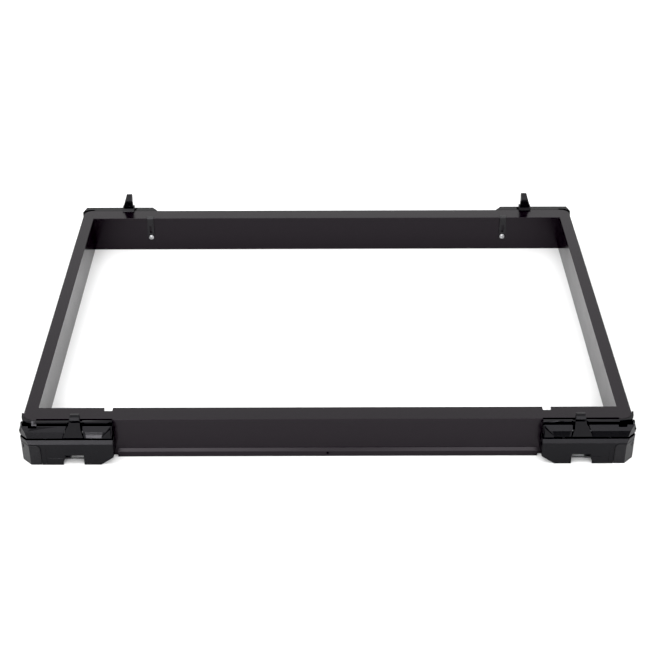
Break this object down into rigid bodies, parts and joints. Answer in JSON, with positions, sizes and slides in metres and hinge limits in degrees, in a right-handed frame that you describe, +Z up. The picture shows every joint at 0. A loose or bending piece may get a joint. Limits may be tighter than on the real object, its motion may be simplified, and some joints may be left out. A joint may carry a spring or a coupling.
{
  "type": "seat box stacking frame",
  "caption": "Rectangular stacking frame of hollow rails with corner modules: tilting latch levers at the front and fixed hooks at the rear join it to the next frame.",
  "frame": {"origin": "centre of the bounding box at floor level, under the tray opening", "axes": "+X to the right along the long rails, -Y towards the latch side, +Z up"},
  "size_m": [0.506, 0.3804, 0.0543],
  "materials": {
    "powder_coat": "satin black powder coat",
    "joint_plastic": "satin black moulding",
    "module_plastic": "finely grained black moulding",
    "cover_plastic": "finely grained black moulding",
    "bumper_plastic": "textured dark grey moulding",
    "latch_plastic": "semi-gloss black moulding",
    "clip_steel": "black coated spring steel",
    "black_screw": "black oxide",
    "screw_steel": "dull zinc",
    "bright_steel": "ground"
  },
  "bodies": {
    "frame": {"catch_pin_left": "clip_steel", "catch_pin_right": "clip_steel", "clip_screw_left_1": "screw_steel", "clip_screw_right_1": "screw_steel", "corner_cap_left": "bumper_plastic", "corner_cap_right": "bumper_plastic", "corner_joint_front_left": "joint_plastic", "corner_joint_front_right": "joint_plastic", "corner_joint_rear_left": "joint_plastic", "corner_joint_rear_right": "joint_plastic", "corner_joint_screw_left_1": "black_screw", "corner_joint_screw_left_2": "black_screw", "corner_joint_screw_left_3": "black_screw", "corner_joint_screw_left_4": "black_screw", "corner_joint_screw_right_1": "black_screw", "corner_joint_screw_right_2": "black_screw", "corner_joint_screw_right_3": "black_screw", "corner_joint_screw_right_4": "black_screw", "cover_screw_left_1": "black_screw", "cover_screw_left_2": "black_screw", "cover_screw_right_1": "black_screw", "cover_screw_right_2": "black_screw", "front_base_left": "module_plastic", "front_base_right": "module_plastic", "front_cover_left": "cover_plastic", "front_cover_right": "cover_plastic", "front_module_screw_left_1": "black_screw", "front_module_screw_left_2": "black_screw", "front_module_screw_right_1": "black_screw", "front_module_screw_right_2": "black_screw", "front_rail": "powder_coat", "hook_screw_left_1": "black_screw", "hook_screw_right_1": "black_screw", "latch_pin_left": "bright_steel", "latch_pin_right": "bright_steel", "left_rail": "powder_coat", "rear_hook_left": "latch_plastic", "rear_hook_right": "latch_plastic", "rear_module_left": "module_plastic", "rear_module_right": "module_plastic", "rear_module_screw_left_1": "black_screw", "rear_module_screw_left_2": "black_screw", "rear_module_screw_right_1": "black_screw", "rear_module_screw_right_2": "black_screw", "rear_rail": "powder_coat", "right_rail": "powder_coat", "tray_clip_left": "clip_steel", "tray_clip_right": "clip_steel"},
    "latch_left": {"latch_lever_left": "latch_plastic", "latch_spring_left": "bright_steel"},
    "latch_right": {"latch_lever_right": "latch_plastic", "latch_spring_right": "bright_steel"}
  },
  "joints": [
    {"name": "latch_tilt_left", "type": "hinge", "parent": "frame", "child": "latch_left", "pos_m": [-0.207, -0.18405, 0.0295], "axis": [-1, 0, 0], "range_deg": [0, 10], "stiffness_Nm_per_rad": 0.05, "springref_deg": -20.05},
    {"name": "latch_tilt_right", "type": "hinge", "parent": "frame", "child": "latch_right", "pos_m": [0.207, -0.18405, 0.0295], "axis": [-1, 0, 0], "range_deg": [0, 10], "stiffness_Nm_per_rad": 0.05, "springref_deg": -20.05}
  ]
}
